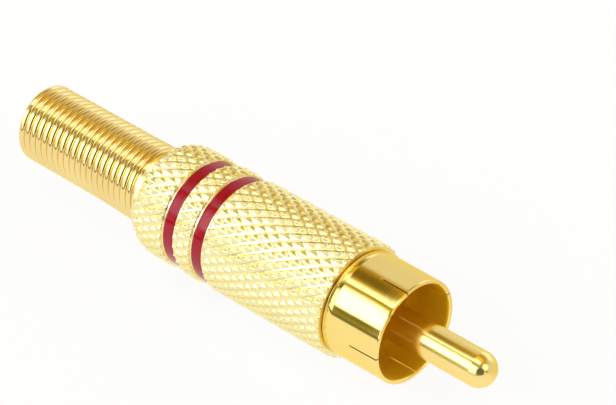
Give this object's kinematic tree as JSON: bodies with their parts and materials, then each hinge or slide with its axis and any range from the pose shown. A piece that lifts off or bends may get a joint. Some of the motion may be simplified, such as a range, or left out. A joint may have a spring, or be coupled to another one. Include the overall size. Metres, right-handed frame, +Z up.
{
  "type": "rca connector",
  "caption": "Gold-plated phono plug: knurled screw-on shell with colour bands, slit ground cup, round centre pin and a close-wound spring that relieves the cable",
  "frame": {"origin": "on the centre pin's axis, where the pin leaves the front insulator inside the ground cup", "axes": "+X along the plug toward the tip of the pin, +Z up as the plug lies on its side, +Y to the left of a viewer who looks along +X"},
  "size_m": [0.0537, 0.0106, 0.0106],
  "materials": {
    "gold_polished": "polished gold plate on brass",
    "gold_turned": "turned brass with gold plate",
    "gold_knurled": "knurled brass with bright gold plate",
    "gold_wire": "spring steel wire with pale gold plate",
    "red_lacquer": "glossy crimson lacquer",
    "insulator": "tan phenolic, turned",
    "sleeve": "white plastic tube"
  },
  "bodies": {
    "plug_core": {"centre_pin": "gold_polished", "ground_cup": "gold_polished", "threaded_collar": "gold_turned", "front_insulator": "insulator", "rear_insulator": "insulator", "ground_lug": "gold_turned"},
    "sleeve": {"insulating_sleeve": "sleeve"},
    "spring": {"strain_relief_spring": "gold_wire"},
    "shell": {"shell": "gold_knurled", "colour_band_front": "red_lacquer", "colour_band_rear": "red_lacquer"}
  },
  "joints": [
    {"name": "shell_draw_off", "type": "slide", "parent": "plug_core", "child": "sleeve", "axis": [1, 0, 0], "range_m": [-0.04, 0]},
    {"name": "shell_travel", "type": "slide", "parent": "sleeve", "child": "spring", "axis": [1, 0, 0], "range_m": [-0.00525, 0]},
    {"name": "shell_turn", "type": "hinge", "parent": "spring", "child": "shell", "pos_m": [-0.01, 0, 0], "axis": [1, 0, 0], "range_deg": [-2520, 0]}
  ],
  "couplings": [
    {"joint": "shell_travel", "follows": "shell_turn", "m_per_rad": 0.00011937}
  ]
}
